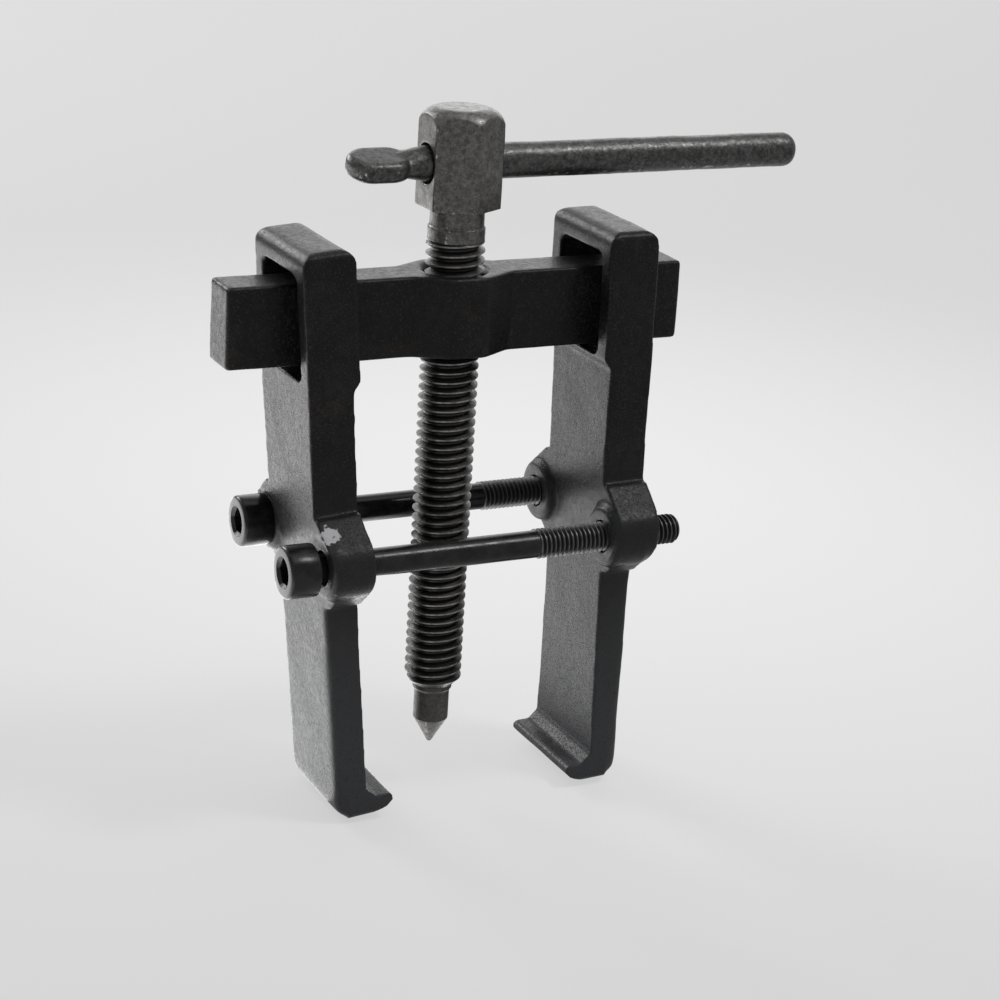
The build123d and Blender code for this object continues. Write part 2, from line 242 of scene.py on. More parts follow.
@dataclass(frozen=True)
class EffectLibrary:
    """Makes the shared effects, each once, before the finishes that use them."""

    roll_scale: float = 0.22
    pit_scale: float = 0.5
    pit_floor: float = 0.05
    pit_rim: float = 0.32
    pitted_from: float = 0.52
    pitted_full: float = 0.66
    grain_weight: float = 0.6
    roll_weight: float = 0.9
    broken_from: float = 0.42
    broken_full: float = 0.62
    cloud_low: float = 0.32
    cloud_high: float = 0.68
    rarest_speck: float = 0.78
    density_reach: float = 0.4
    speck_edge: float = 0.12

    def forged_grain(self) -> str:
        """The fine lumpy skin of a forging, with a coarser roll under it and scattered pits.

        Returns:
            The group's name.
        """
        made = EffectTree("forged_grain", {"Grain Scale": 1500.0, "Pit Amount": 0.3}, ("Height",))
        scale = made.given["Grain Scale"]
        fine = made.texture("TexNoise", scale, in_Detail=5.0, in_Roughness=0.62).outputs["Fac"]
        roll_scale = made.math("MULTIPLY", scale, self.roll_scale)
        rolled = made.texture("TexNoise", roll_scale, in_Detail=3.0, in_Roughness=0.5).outputs["Fac"]
        spots = made.texture("TexVoronoi", made.math("MULTIPLY", scale, self.pit_scale), feature="SMOOTH_F1",
                             in_Smoothness=0.6)
        pits = made.ramp(spots.outputs["Distance"], self.pit_floor, self.pit_rim, 1.0, 0.0)
        pits = made.math("MULTIPLY", pits, made.ramp(rolled, self.pitted_from, self.pitted_full))
        pits = made.math("MULTIPLY", pits, made.given["Pit Amount"])
        height = made.math("ADD", made.math("MULTIPLY", fine, self.grain_weight),
                           made.math("MULTIPLY", rolled, self.roll_weight))
        made.link(made.math("SUBTRACT", height, pits), made.out["Height"])
        return "forged_grain"

    def edge_wear(self) -> str:
        """Outer edges, where paint rubs thin: whole as Edge, and broken up as Mask.

        Returns:
            The group's name.
        """
        made = EffectTree("edge_wear", {"Start": 0.54, "Full": 0.62, "Break Scale": 900.0}, ("Mask", "Edge"))
        shape = made.node("NewGeometry")
        edge = made.ramp(shape.outputs["Pointiness"], made.given["Start"], made.given["Full"])
        patches = made.texture("TexNoise", made.given["Break Scale"], in_Detail=4.0, in_Roughness=0.6)
        broken = made.ramp(patches.outputs["Fac"], self.broken_from, self.broken_full)
        made.link(made.math("MULTIPLY", edge, broken), made.out["Mask"])
        made.link(edge, made.out["Edge"])
        return "edge_wear"

    def smudge(self) -> str:
        """A soft uneven value, for oil, dust and patchy gloss.

        Returns:
            The group's name.
        """
        made = EffectTree("smudge", {"Scale": 120.0, "Low": 0.0, "High": 1.0}, ("Value",))
        cloud = made.texture("TexNoise", made.given["Scale"], in_Detail=6.0, in_Roughness=0.6,
                             in_Distortion=0.4)
        uneven = made.ramp(cloud.outputs["Fac"], self.cloud_low, self.cloud_high, made.given["Low"],
                           made.given["High"])
        made.link(uneven, made.out["Value"])
        return "smudge"

    def speckle(self) -> str:
        """Fine scattered specks, light or dark.

        Returns:
            The group's name.
        """
        made = EffectTree("speckle", {"Scale": 2600.0, "Density": 0.35}, ("Mask",))
        specks = made.texture("TexNoise", made.given["Scale"], in_Detail=2.0, in_Roughness=0.7)
        denser = made.math("MULTIPLY", made.given["Density"], self.density_reach)
        start = made.math("SUBTRACT", self.rarest_speck, denser)
        end = made.math("ADD", start, self.speck_edge)
        made.link(made.ramp(specks.outputs["Fac"], start, end), made.out["Mask"])
        return "speckle"


class FinishTree(ShaderTree):
    """A material's node tree, with its Principled shader and the shared effects at hand."""

    def __init__(self, name: str) -> None:
        """Makes the material.

        Args:
            name: The material's name.
        """
        self.material = bpy.data.materials.new(name)
        self.material.use_nodes = True
        super().__init__(self.material.node_tree)
        self.shader = self.tree.nodes["Principled BSDF"]
        self.place = self.node("TexCoord").outputs["Object"]

    def effect(self, name: str, **values: float) -> bpy.types.Node:
        """Places a shared effect, on Object coordinates.

        Args:
            name: The node group's name.
            **values: Its inputs, with spaces written as underscores.

        Returns:
            The group node.
        """
        made = self.node("Group", node_tree=bpy.data.node_groups[name])
        self.link(self.place, made.inputs["Vector"])
        for label, value in values.items():
            made.inputs[label.replace("_", " ")].default_value = value
        return made

    def bump(self, height: Socket, depth: float, before: Socket | None = None) -> Socket:
        """Adds a bump.

        Args:
            height: The height, where 1 stands for the whole depth.
            depth: The depth in metres.
            before: A normal to add to, if there is one.

        Returns:
            The normal socket.
        """
        made = self.node("Bump", in_Strength=1.0, in_Distance=depth)
        self.link(height, made.inputs["Height"])
        if before is not None:
            self.link(before, made.inputs["Normal"])
        return made.outputs["Normal"]

    def surface(self, colour: Socket | Colour, roughness: Socket | float, normal: Socket | None = None,
                metallic: float = 0.0) -> None:
        """Sets how the surface looks.

        Args:
            colour: Base colour, a socket or an RGB triple.
            roughness: A socket or a number.
            normal: A socket, or None for the plain normal.
            metallic: How much of a metal it is.
        """
        self.feed(colour, self.shader.inputs["Base Color"])
        self.feed(roughness, self.shader.inputs["Roughness"])
        self.feed(metallic, self.shader.inputs["Metallic"])
        if normal is not None:
            self.link(normal, self.shader.inputs["Normal"])


@dataclass(frozen=True)
class ForgedPaint:
    """Thin black paint over a gritty forged skin, rubbed grey along its edges, with a painted glow low down.
    """

    name: str = "forged_black_paint"
    black: Colour = (0.0040, 0.0042, 0.0044)
    dusty: Colour = (0.010, 0.0103, 0.0108)
    # Painted light: a lighter paint towards the sole, standing in for the pale table's glow on the foot.
    painted_floor_glow: Colour = (0.045, 0.046, 0.049)
    bare: Colour = (0.30, 0.29, 0.28)
    pale_patch_colour: Colour = (0.42, 0.42, 0.43)
    rust: Colour = (0.060, 0.036, 0.024)
    # Grit specks: real grit in the bump, and a lighter colour that is painted sparkle.
    grit_and_sparkle: Colour = (0.020, 0.020, 0.021)
    mirror_level: float = 0.125
    gloss_low: float = 0.28
    gloss_high: float = 0.42
    gloss_scale: float = 1300.0
    grain_scale: float = 1500.0
    grain_depth: float = 0.00006
    pit_amount: float = 0.5
    grit_and_sparkle_scale: float = 3200.0
    grit_and_sparkle_density: float = 0.55
    grit_depth: float = 0.00003
    dust_scale: float = 160.0
    fine_dust_scale: float = 900.0
    painted_floor_glow_share: float = 0.85
    painted_floor_glow_height: float = 0.070
    rust_scale: float = 75.0
    rust_low: float = -1.0
    rust_high: float = 0.1
    wear_start: float = 0.545
    wear_full: float = 0.63
    wear_scale: float = 700.0
    wear_share: float = 0.25
    wear_gloss: float = 0.1
    # A pale ragged patch round this point, if one is given.
    pale_patch: Vector | None = None
    pale_patch_size: float = 0.0020
    pale_patch_ragged: float = 0.6
    pale_patch_inner: float = 0.9
    pale_patch_outer: float = 1.1

    def pale_patch_mask(self, made: FinishTree, uneven: Socket) -> Socket:
        """A pale ragged patch round one point on the paint.

        Args:
            made: The paint's tree.
            uneven: A value that breaks the patch's outline.

        Returns:
            The mask, which is 0 all over if there is no patch.
        """
        far_below = Vector((0, 0, -1))
        away = made.distance(made.place, self.pale_patch or far_below)
        ragged = made.math("ADD", away, made.math("MULTIPLY", uneven, self.pale_patch_size * self.pale_patch_ragged))
        return made.ramp(ragged, self.pale_patch_size * self.pale_patch_inner, self.pale_patch_size * self.pale_patch_outer, 1.0, 0.0)

    def colour(self, made: FinishTree, wear: Socket, grit_and_sparkle: Socket) -> Socket:
        """Layers dust, grit specks partly painted as sparkle, a painted glow low down, rust, wear and a pale
        patch on the black.

        Args:
            made: The paint's tree.
            wear: Where the edges are rubbed.
            grit_and_sparkle: Where the grit stands out, its specks made lighter as painted sparkle.

        Returns:
            The paint's colour.
        """
        dust = made.effect("smudge", Scale=self.dust_scale).outputs["Value"]
        fine_dust = made.effect("smudge", Scale=self.fine_dust_scale).outputs["Value"]
        rusty = made.effect("smudge", Scale=self.rust_scale, Low=self.rust_low, High=self.rust_high)
        split = made.node("SeparateXYZ")
        made.link(made.place, split.inputs[0])
        # Painted light: lightens the paint from the sole up to the glow height, for the table's glow on the
        # foot.
        painted_floor_glow_mask = made.ramp(split.outputs["Z"], 0.0, self.painted_floor_glow_height, self.painted_floor_glow_share, 0.0)
        layers = (
            (painted_floor_glow_mask, self.painted_floor_glow),
            (grit_and_sparkle, self.grit_and_sparkle),
            (made.math("MAXIMUM", rusty.outputs["Value"], 0.0), self.rust),
            (made.math("MULTIPLY", wear, self.wear_share), self.bare),
            (self.pale_patch_mask(made, fine_dust), self.pale_patch_colour),
        )
        colour = made.mix_colour(made.math("MULTIPLY", dust, fine_dust), self.black, self.dusty)
        for mask, layer in layers:
            colour = made.mix_colour(mask, colour, layer)
        return colour

    def material(self) -> bpy.types.Material:
        """Builds the material.

        Returns:
            The finished material.
        """
        made = FinishTree(self.name)
        grain = made.effect("forged_grain", Grain_Scale=self.grain_scale, Pit_Amount=self.pit_amount)
        # Grit mask: it bumps the paint as real grit and lightens its specks as painted sparkle.
        grit_and_sparkle = made.effect("speckle", Scale=self.grit_and_sparkle_scale, Density=self.grit_and_sparkle_density).outputs["Mask"]
        wear = made.effect("edge_wear", Start=self.wear_start, Full=self.wear_full,
                           Break_Scale=self.wear_scale)
        gloss = made.effect("smudge", Scale=self.gloss_scale, Low=self.gloss_low, High=self.gloss_high)
        rubbed = made.math("MULTIPLY", wear.outputs["Edge"], self.wear_gloss)
        normal = made.bump(grain.outputs["Height"], self.grain_depth)
        made.surface(self.colour(made, wear.outputs["Mask"], grit_and_sparkle),
                     made.math("SUBTRACT", gloss.outputs["Value"], rubbed),
                     made.bump(grit_and_sparkle, self.grit_depth, normal))
        made.shader.inputs["Specular IOR Level"].default_value = self.mirror_level
        return made.material


@dataclass(frozen=True)
class DarkSteel:
    """Phosphated steel: dark grey, gritty and speckled, with bright rubbed edges."""

    name: str = "phosphated_steel"
    dark: Colour = (0.048, 0.047, 0.045)
    light: Colour = (0.17, 0.166, 0.159)
    bright: Colour = (0.62, 0.59, 0.55)
    metal: float = 0.75
    rough_low: float = 0.28
    rough_high: float = 0.44
    rough_scale: float = 1500.0
    grain_scale: float = 2100.0
    grain_depth: float = 0.00006
    pit_amount: float = 0.6
    cloud_scale: float = 1200.0
    cloud_share: float = 0.5
    speck_scale: float = 2800.0
    speck_density: float = 0.65
    speck_share: float = 0.35
    wear_start: float = 0.53
    wear_full: float = 0.60
    wear_scale: float = 1100.0
    wear_share: float = 0.45
    wear_gloss: float = 0.15

    def material(self) -> bpy.types.Material:
        """Builds the material.

        Returns:
            The finished material.
        """
        made = FinishTree(self.name)
        grain = made.effect("forged_grain", Grain_Scale=self.grain_scale, Pit_Amount=self.pit_amount)
        wear = made.effect("edge_wear", Start=self.wear_start, Full=self.wear_full,
                           Break_Scale=self.wear_scale)
        specks = made.effect("speckle", Scale=self.speck_scale, Density=self.speck_density)
        cloud = made.effect("smudge", Scale=self.cloud_scale)
        gloss = made.effect("smudge", Scale=self.rough_scale, Low=self.rough_low, High=self.rough_high)
        factor = made.math("ADD", made.math("MULTIPLY", cloud.outputs["Value"], self.cloud_share),
                           made.math("MULTIPLY", specks.outputs["Mask"], self.speck_share))
        colour = made.mix_colour(factor, self.dark, self.light)
        worn = made.math("MULTIPLY", wear.outputs["Mask"], self.wear_share)
        rubbed = made.math("MULTIPLY", wear.outputs["Mask"], self.wear_gloss)
        made.surface(made.mix_colour(worn, colour, self.bright),
                     made.math("SUBTRACT", gloss.outputs["Value"], rubbed),
                     made.bump(grain.outputs["Height"], self.grain_depth), self.metal)
        return made.material


@dataclass(frozen=True)
class ThreadSteel:
    """A blackened thread: dark in its grooves, with grey rubbed crests."""

    name: str = "blackened_thread"
    groove: Colour = (0.010, 0.010, 0.010)
    flank: Colour = (0.032, 0.031, 0.029)
    crest: Colour = (0.24, 0.23, 0.215)
    metal: float = 0.5
    rough_low: float = 0.32
    rough_high: float = 0.52
    rough_scale: float = 1300.0
    grain_scale: float = 2300.0
    grain_depth: float = 0.00003
    pit_amount: float = 0.4
    patch_scale: float = 900.0
    patch_low: float = 0.25
    groove_top: float = 0.1
    flank_top: float = 0.75
    crest_start: float = 0.9

    def material(self) -> bpy.types.Material:
        """Builds the material.

        Returns:
            The finished material.
        """
        made = FinishTree(self.name)
        height = made.node("Attribute", attribute_name="thread_height").outputs["Fac"]
        grain = made.effect("forged_grain", Grain_Scale=self.grain_scale, Pit_Amount=self.pit_amount)
        patches = made.effect("smudge", Scale=self.patch_scale, Low=self.patch_low, High=1.0)
        gloss = made.effect("smudge", Scale=self.rough_scale, Low=self.rough_low, High=self.rough_high)
        colour = made.mix_colour(made.ramp(height, self.groove_top, self.flank_top), self.groove, self.flank)
        crest = made.math("MULTIPLY", made.ramp(height, self.crest_start, 1.0), patches.outputs["Value"])
        made.surface(made.mix_colour(crest, colour, self.crest), gloss.outputs["Value"],
                     made.bump(grain.outputs["Height"], self.grain_depth), self.metal)
        return made.material


@dataclass(frozen=True)
class BlackOxide:
    """Smooth blackened screws with a trace of oil, a little rubbed at their rims."""

    name: str = "black_oxide"
    black: Colour = (0.0045, 0.0045, 0.0048)
    grey: Colour = (0.015, 0.015, 0.0155)
    bare: Colour = (0.25, 0.245, 0.24)
    mirror_level: float = 0.18
    rough_low: float = 0.18
    rough_high: float = 0.30
    rough_scale: float = 500.0
    grain_scale: float = 1800.0
    grain_depth: float = 0.00002
    pit_amount: float = 0.3
    cloud_scale: float = 350.0
    wear_start: float = 0.55
    wear_full: float = 0.64
    wear_scale: float = 900.0
    wear_share: float = 0.2

    def material(self) -> bpy.types.Material:
        """Builds the material.

        Returns:
            The finished material.
        """
        made = FinishTree(self.name)
        grain = made.effect("forged_grain", Grain_Scale=self.grain_scale, Pit_Amount=self.pit_amount)
        wear = made.effect("edge_wear", Start=self.wear_start, Full=self.wear_full,
                           Break_Scale=self.wear_scale)
        cloud = made.effect("smudge", Scale=self.cloud_scale)
        gloss = made.effect("smudge", Scale=self.rough_scale, Low=self.rough_low, High=self.rough_high)
        colour = made.mix_colour(cloud.outputs["Value"], self.black, self.grey)
        worn = made.math("MULTIPLY", wear.outputs["Mask"], self.wear_share)
        made.surface(made.mix_colour(worn, colour, self.bare), gloss.outputs["Value"],
                     made.bump(grain.outputs["Height"], self.grain_depth))
        made.shader.inputs["Specular IOR Level"].default_value = self.mirror_level
        return made.material


# ---------------------------------------------------------------- mesh building


class Shop:
    """Makes finished objects out of bmeshes: at the origin, with merged points and outward faces."""

    # Points this close to a cutting plane are taken as on it.
    PLANE_SNAP = 1e-7
    # How far each pass of smoothing moves a point towards the middle of its neighbours.
    SMOOTHING = 0.5

    @staticmethod
    def finish(name: str, mesh: bmesh.types.BMesh, material: bpy.types.Material, smooth_angle: float
               ) -> bpy.types.Object:
        """Turns a bmesh into a shaded object.

        Args:
            name: The object's name.
            mesh: The bmesh, which is freed.
            material: Its one material.
            smooth_angle: Edges that turn by more than this many degrees stay sharp.

        Returns:
            The object, linked to the scene.
        """
        bmesh.ops.remove_doubles(mesh, verts=mesh.verts, dist=FINISH_MERGE)
        bmesh.ops.recalc_face_normals(mesh, faces=mesh.faces)
        limit = math.radians(smooth_angle)
        for face in mesh.faces:
            face.smooth = True
        for edge in mesh.edges:
            edge.smooth = len(edge.link_faces) == 2 and edge.calc_face_angle(0.0) < limit
        data = bpy.data.meshes.new(name)
        mesh.to_mesh(data)
        mesh.free()
        data.materials.append(material)
        made = bpy.data.objects.new(name, data)
        bpy.context.scene.collection.objects.link(made)
        return made

    @staticmethod
    def copy_node(node: str) -> bmesh.types.BMesh:
        """A merged copy of a CAD node's mesh.

        Args:
            node: The node's name.

        Returns:
            The copy.
        """
        mesh = bmesh.new()
        mesh.from_mesh(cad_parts[node].data)
        bmesh.ops.remove_doubles(mesh, verts=mesh.verts, dist=COPY_MERGE)
        return mesh

    @staticmethod
    def cut(mesh: bmesh.types.BMesh, place: Vector, outward: Vector) -> None:
        """Cuts off what lies beyond a plane and caps the cut.

        Args:
            mesh: The bmesh to cut.
            place: A point on the plane.
            outward: The plane's normal, towards what goes.
        """
        everything = mesh.verts[:] + mesh.edges[:] + mesh.faces[:]
        bmesh.ops.bisect_plane(mesh, geom=everything, plane_co=place, plane_no=outward, clear_outer=True,
                               dist=Shop.PLANE_SNAP)
        rim = [edge for edge in mesh.edges if edge.is_boundary]
        bmesh.ops.holes_fill(mesh, edges=rim, sides=0)

    @staticmethod
    def soften(name: str, mesh: bmesh.types.BMesh, voxel: float, passes: int) -> bmesh.types.BMesh:
        """Remeshes a solid evenly and rounds its edges, as forging and tumbling do.

        Args:
            name: A name for the passing object.
            mesh: The solid, which is freed.
            voxel: The size of the new faces, in metres.
            passes: How many times it is smoothed. More passes give larger radii.

        Returns:
            The softened bmesh.
        """
        data = bpy.data.meshes.new(name)
        mesh.to_mesh(data)
        mesh.free()
        holder = bpy.data.objects.new(name, data)
        bpy.context.scene.collection.objects.link(holder)
        remesh = holder.modifiers.new("even", "REMESH")
        remesh.mode = "VOXEL"
        remesh.voxel_size = voxel * COARSER
        smoothing = holder.modifiers.new("round", "SMOOTH")
        smoothing.factor = Shop.SMOOTHING
        smoothing.iterations = max(1, round(passes / COARSER ** 2))
        bpy.context.view_layer.update()
        evaluated = holder.evaluated_get(bpy.context.evaluated_depsgraph_get())
        result = bmesh.new()
        result.from_mesh(evaluated.to_mesh())
        evaluated.to_mesh_clear()
        bpy.data.objects.remove(holder)
        bpy.data.meshes.remove(data)
        return result

    @staticmethod
    def smooth(mesh: bmesh.types.BMesh, verts: list[bmesh.types.BMVert], passes: int) -> None:
        """Rounds off part of an even mesh further.

        Args:
            mesh: The bmesh.
            verts: The points that may move.
            passes: How many times they are smoothed.
        """
        for _ in range(max(1, round(passes / COARSER ** 2))):
            bmesh.ops.smooth_vert(mesh, verts=verts, factor=Shop.SMOOTHING, use_axis_x=True, use_axis_y=True,
                                  use_axis_z=True)

    @staticmethod
    def hammer(mesh: bmesh.types.BMesh, size: float, depth: float, seed: float) -> None:
        """Sinks a skin by soft uneven dents.

        Args:
            mesh: The bmesh to dent.
            size: The dents' size in metres.
            depth: The deepest dent in metres.
            seed: Moves the pattern, so that no two pieces match.
        """
        mesh.normal_update()
        shift = Vector((seed, seed * 0.7, -seed))
        # The noise runs from -1 to 1, and a share from 0 to 1 keeps the skin inside the solid.
        shares = [0.5 + 0.5 * noise.noise(vert.co / size + shift) for vert in mesh.verts]
        for vert, share in zip(mesh.verts, shares):
            vert.co += vert.normal * -depth * share

    @staticmethod
    def turned(profile: Profile, steps: int = 96) -> bmesh.types.BMesh:
        """Spins a profile about Z.

        Args:
            profile: Radius and height of each point, from the bottom of the axis to its top.
            steps: How many faces go round.

        Returns:
            The closed solid.
        """
        mesh = bmesh.new()
        verts = [mesh.verts.new((radius, 0, height)) for radius, height in profile]
        edges = [mesh.edges.new(pair) for pair in zip(verts, verts[1:])]
        bmesh.ops.spin(mesh, geom=verts + edges, cent=(0, 0, 0), axis=(0, 0, 1), angle=math.tau, steps=steps,
                       use_merge=True)
        bmesh.ops.remove_doubles(mesh, verts=mesh.verts, dist=FINISH_MERGE)
        return mesh

    @staticmethod
    def rounded(profile: Profile, radii: dict[int, float], steps: int = 5) -> Profile:
        """Rounds some corners of a profile.

        Args:
            profile: The profile's points.
            radii: For each rounded corner, its index and radius.
            steps: How many short runs make each round.

        Returns:
            The profile with arcs in place of those corners.
        """
        result: Profile = []
        for index, point in enumerate(profile):
            if index not in radii:
                result.append(point)
                continue
            corner = Vector(point)
            before = (Vector(profile[index - 1]) - corner).normalized()
            after = (Vector(profile[index + 1]) - corner).normalized()
            half = before.angle(after) / 2
            reach = radii[index] / math.tan(half)
            middle = corner + (before + after).normalized() * radii[index] / math.sin(half)
            start = (corner + before * reach - middle).normalized()
            end = (corner + after * reach - middle).normalized()
            for step in range(steps + 1):
                result.append(tuple(middle + start.slerp(end, step / steps) * radii[index]))
        return result

    @staticmethod
    def along_x(mesh: bmesh.types.BMesh, place: Vector) -> None:
        """Lays a piece that was made along Z on X, and moves it.

        Args:
            mesh: The bmesh to move.
            place: Where its origin goes.
        """
        bmesh.ops.transform(mesh, matrix=Matrix.Translation(place) @ Matrix.Rotation(math.pi / 2, 4, "Y"),
                            verts=mesh.verts)


@dataclass
class HelicalThread:
    """A length of real screw thread, made along Z from height 0."""

    crest_radius: float
    pitch: float
    turns: int
    end_chamfer: float
    start_chamfer: float
    steps: int = 56
    spare_turns: int = 2
    crest_share: float = 0.13
    root_share: float = 0.17
    depth_share: float = 0.60

    @property
    def length(self) -> float:
        """The thread's length."""
        return self.turns * self.pitch

    @property
    def root_radius(self) -> float:
        """The radius at the bottom of the groove."""
        return self.crest_radius - self.depth_share * self.pitch

    def envelope(self, height: float) -> float:
        """The largest radius that the end chamfers leave.

        Args:
            height: The height above the thread's start.

        Returns:
            The radius in metres.
        """
        low = self.crest_radius - self.start_chamfer + height
        high = self.crest_radius - self.end_chamfer + self.length - height
        return min(self.crest_radius, low, high)

    def profile(self) -> Profile:
        """Draws one groove, from crest to crest.

        Returns:
            The radius and height of each point.
        """
        half_crest = self.crest_share * self.pitch / 2
        half_root = self.root_share * self.pitch / 2
        middle = self.pitch / 2
        flank_radius = (self.root_radius + self.crest_radius) / 2
        flank_height = (half_crest + middle - half_root) / 2
        return [
            (self.crest_radius, 0),
            (self.crest_radius, half_crest),
            (flank_radius, flank_height),
            (self.root_radius, middle - half_root),
            (self.root_radius, middle + half_root),
            (flank_radius, self.pitch - flank_height),
            (self.crest_radius, self.pitch - half_crest),
            (self.crest_radius, self.pitch),
        ]

    def mesh(self) -> bmesh.types.BMesh:
        """Spins the groove up the axis, trims both ends square and caps them.

        Returns:
            The closed thread.
        """
        mesh = bmesh.new()
        verts = [mesh.verts.new((radius, 0, height - self.pitch)) for radius, height in self.profile()]
        edges = [mesh.edges.new(pair) for pair in zip(verts, verts[1:])]
        turns = self.turns + self.spare_turns
        bmesh.ops.spin(mesh, geom=verts + edges, cent=(0, 0, 0), axis=(0, 0, 1), steps=turns * self.steps,
                       angle=math.tau * turns, dvec=(0, 0, self.pitch / self.steps), use_merge=False)
        bmesh.ops.remove_doubles(mesh, verts=mesh.verts, dist=THREAD_MERGE)
        Shop.cut(mesh, Vector((0, 0, 0)), Vector((0, 0, -1)))
        Shop.cut(mesh, Vector((0, 0, self.length)), Vector((0, 0, 1)))
        for vert in mesh.verts:
            radius = vert.co.xy.length
            limit = self.envelope(vert.co.z)
            if radius > limit:
                vert.co.xy *= limit / radius
        return mesh

    def mark_height(self, piece: bpy.types.Object, centre: Vector, axis: Axis) -> None:
        """Stores on each point how far up the groove it is, from 0 at the root to 1 at the crest.

        Args:
            piece: The finished object.
            centre: A point on the thread's axis.
            axis: The axis's direction.
        """
        across = (1, 2) if axis is Axis.X else (0, 1)
        marks = piece.data.attributes.new("thread_height", "FLOAT", "POINT")
        for index, vert in enumerate(piece.data.vertices):
            radius = math.hypot(*((vert.co - centre)[i] for i in across))
            share = (radius - self.root_radius) / (self.crest_radius - self.root_radius)
            marks.data[index].value = min(max(share, 0.0), 1.0)


# ---------------------------------------------------------------- the puller's pieces


@dataclass
class Forging:
    """A forged piece: an even, softened and slightly dented copy of its solid."""

    node: str
    body: str
    passes: int
    dent_depth: float
    seed: float
    voxel: float = 0.30 * MM
    dent_size: float = 7 * MM
    fine_dent_share: float = 0.28
    fine_depth_share: float = 0.2
    fine_seed_step: float = 5.0

    def wear_down(self, mesh: bmesh.types.BMesh) -> None:
        """Rounds the piece further where it is worn. A plain forging is not."""

    def build(self, material: bpy.types.Material) -> bpy.types.Object:
        """Makes the piece and puts it in place of its solid.

        Args:
            material: The paint.

        Returns:
            The new object.
        """
        mesh = Shop.soften(self.node, Shop.copy_node(self.node), self.voxel, self.passes)
        self.wear_down(mesh)
        Shop.hammer(mesh, self.dent_size, self.dent_depth, self.seed)
        Shop.hammer(mesh, self.dent_size * self.fine_dent_share, self.dent_depth * self.fine_depth_share,
                    self.seed + self.fine_seed_step)
        piece = Shop.finish(self.node + "_forging", mesh, material, FORGED_ANGLE)
        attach(piece, self.body)
        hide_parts(self.node)
        return piece


@dataclass(kw_only=True)
class Jaw(Forging):
    """A jaw: crisp at its toe, rounder above, and well rubbed on the outer edges of its foot."""

    outward: int
    foot_face: float
    lean: float
    crisp_height: float = 8 * MM
    body_passes: int = 3
    rubbed_height: float = 42 * MM
    rubbed_depth: float = 2.2 * MM
    rubbed_steps: int = 12
    rubbed_curve: float = 1.5
    passes_per_step: int = 8

    def wear_down(self, mesh: bmesh.types.BMesh) -> None:
        """Rounds the body a little and the foot's outer edges more and more towards the sole.

        Args:
            mesh: The softened jaw.
        """
        Shop.smooth(mesh, [vert for vert in mesh.verts if vert.co.z > self.crisp_height], self.body_passes)
        slope = math.tan(math.radians(self.lean))
        outer = [vert for vert in mesh.verts
                 if self.outward * (vert.co.x - self.foot_face - slope * vert.co.z) > -self.rubbed_depth]
        for step in range(1, self.rubbed_steps + 1):
            height = self.rubbed_height * (step / self.rubbed_steps) ** self.rubbed_curve
            Shop.smooth(mesh, [vert for vert in outer if vert.co.z < height], self.passes_per_step)


@dataclass
class ForcingScrew:
    """The screw: its forged head and neck, and the thread below them."""

    body: str = "screw"
    node: str = "forcing_screw"
    crest_radius: float = 4.7625 * MM
    pitch: float = 1.5875 * MM
    turns: int = 48
    tip_chamfer: float = 1.4 * MM
    top_chamfer: float = 0.35 * MM
    neck_length: float = 5.05 * MM
    head_height: float = 15.9 * MM
    head_lap: float = 0.5
    voxel: float = 0.16 * MM
    passes: int = 3
    dent_size: float = 2.4 * MM
    dent_depth: float = 0.10 * MM
    seed: float = 3.0

    def build(self, head_finish: bpy.types.Material, thread_finish: bpy.types.Material
              ) -> list[bpy.types.Object]:
        """Makes the head and the thread.

        Args:
            head_finish: The head's and the neck's material.
            thread_finish: The thread's material.

        Returns:
            The new objects.
        """
        low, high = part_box(self.node)
        neck_bottom = high.z - self.head_height - self.neck_length
        mesh = Shop.copy_node(self.node)
        Shop.cut(mesh, Vector((0, 0, neck_bottom - self.head_lap * self.pitch)), Vector((0, 0, -1)))
        mesh = Shop.soften("head", mesh, self.voxel, self.passes)
        Shop.hammer(mesh, self.dent_size, self.dent_depth, self.seed)
        head = Shop.finish("forcing_screw_head", mesh, head_finish, FORGED_ANGLE)
        thread = HelicalThread(self.crest_radius, self.pitch, self.turns, end_chamfer=self.top_chamfer,
                               start_chamfer=self.tip_chamfer)
        mesh = thread.mesh()
        bmesh.ops.translate(mesh, vec=(0, 0, low.z), verts=mesh.verts)
        shank = Shop.finish("forcing_screw_thread", mesh, thread_finish, THREAD_ANGLE)
        thread.mark_height(shank, Vector(), Axis.Z)
        for piece in (head, shank):
            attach(piece, self.body)
            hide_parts(self.node)
        return [head, shank]


